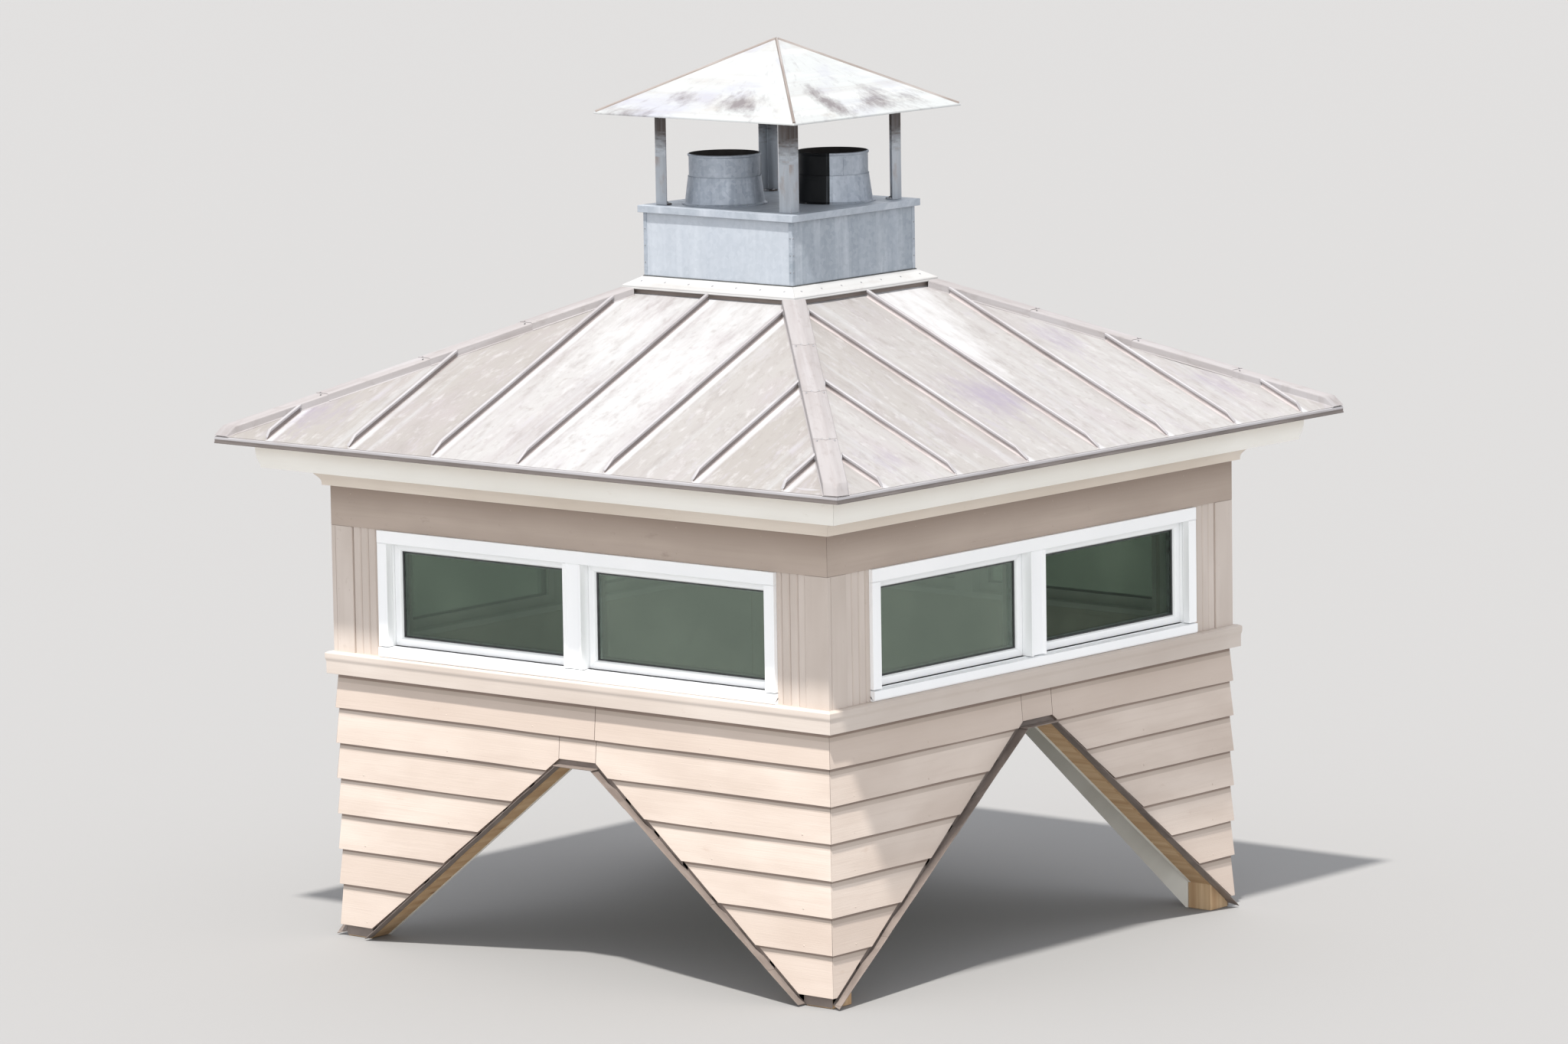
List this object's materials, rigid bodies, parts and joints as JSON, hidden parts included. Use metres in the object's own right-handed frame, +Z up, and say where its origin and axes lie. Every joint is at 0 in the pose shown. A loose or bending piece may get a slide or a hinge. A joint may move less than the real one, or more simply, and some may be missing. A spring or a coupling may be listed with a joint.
{
  "type": "garage cupola",
  "caption": "Square boarded roof lantern with paired windows, a moulded cornice, a standing-seam hip roof and a flue box under a pyramid rain cap.",
  "frame": {"origin": "centre of the plan on the plane of the four feet", "axes": "+Z up; the front is towards -Y and the right side towards +X"},
  "size_m": [2.862, 2.862, 3.1881],
  "materials": {
    "framing": "sawn, unpainted",
    "siding": "stained pale tan, matt and weathered",
    "trim": "painted taupe, satin",
    "cornice": "painted cream, satin",
    "window_frame": "white, smooth",
    "glazing": "clear",
    "roof_metal": "weathered dull grey with a faint pink cast",
    "flashing_metal": "dark weathered sheet",
    "box_metal": "blue-grey galvanised sheet"
  },
  "bodies": {
    "root": {"corner_posts": "framing", "base_wall_front": "framing", "base_wall_right": "framing", "base_wall_back": "framing", "base_wall_left": "framing", "siding_front": "siding", "siding_right": "siding", "siding_back": "siding", "siding_left": "siding", "step_flashing": "flashing_metal", "sill_band": "trim", "upper_wall_front": "framing", "upper_wall_right": "framing", "upper_wall_back": "framing", "upper_wall_left": "framing", "corner_boards": "trim", "side_boards": "trim", "frieze_boards": "trim", "window_frame_front": "window_frame", "window_frame_right": "window_frame", "window_frame_back": "window_frame", "window_frame_left": "window_frame", "window_sashes_front": "window_frame", "window_sashes_right": "window_frame", "window_sashes_back": "window_frame", "window_sashes_left": "window_frame", "window_glass": "glazing", "bed_mould": "cornice", "soffit_boards": "cornice", "crown_mould": "cornice", "wall_plate": "framing", "rafters": "framing", "roof_deck": "framing", "roof_panels_front": "roof_metal", "roof_panels_right": "roof_metal", "roof_panels_back": "roof_metal", "roof_panels_left": "roof_metal", "hip_caps": "roof_metal", "roof_curb": "framing", "curb_flashing": "roof_metal", "flue_box": "box_metal", "box_lid": "box_metal", "flues": "box_metal", "cap_posts": "box_metal", "rain_cap": "roof_metal"}
  },
  "joints": []
}
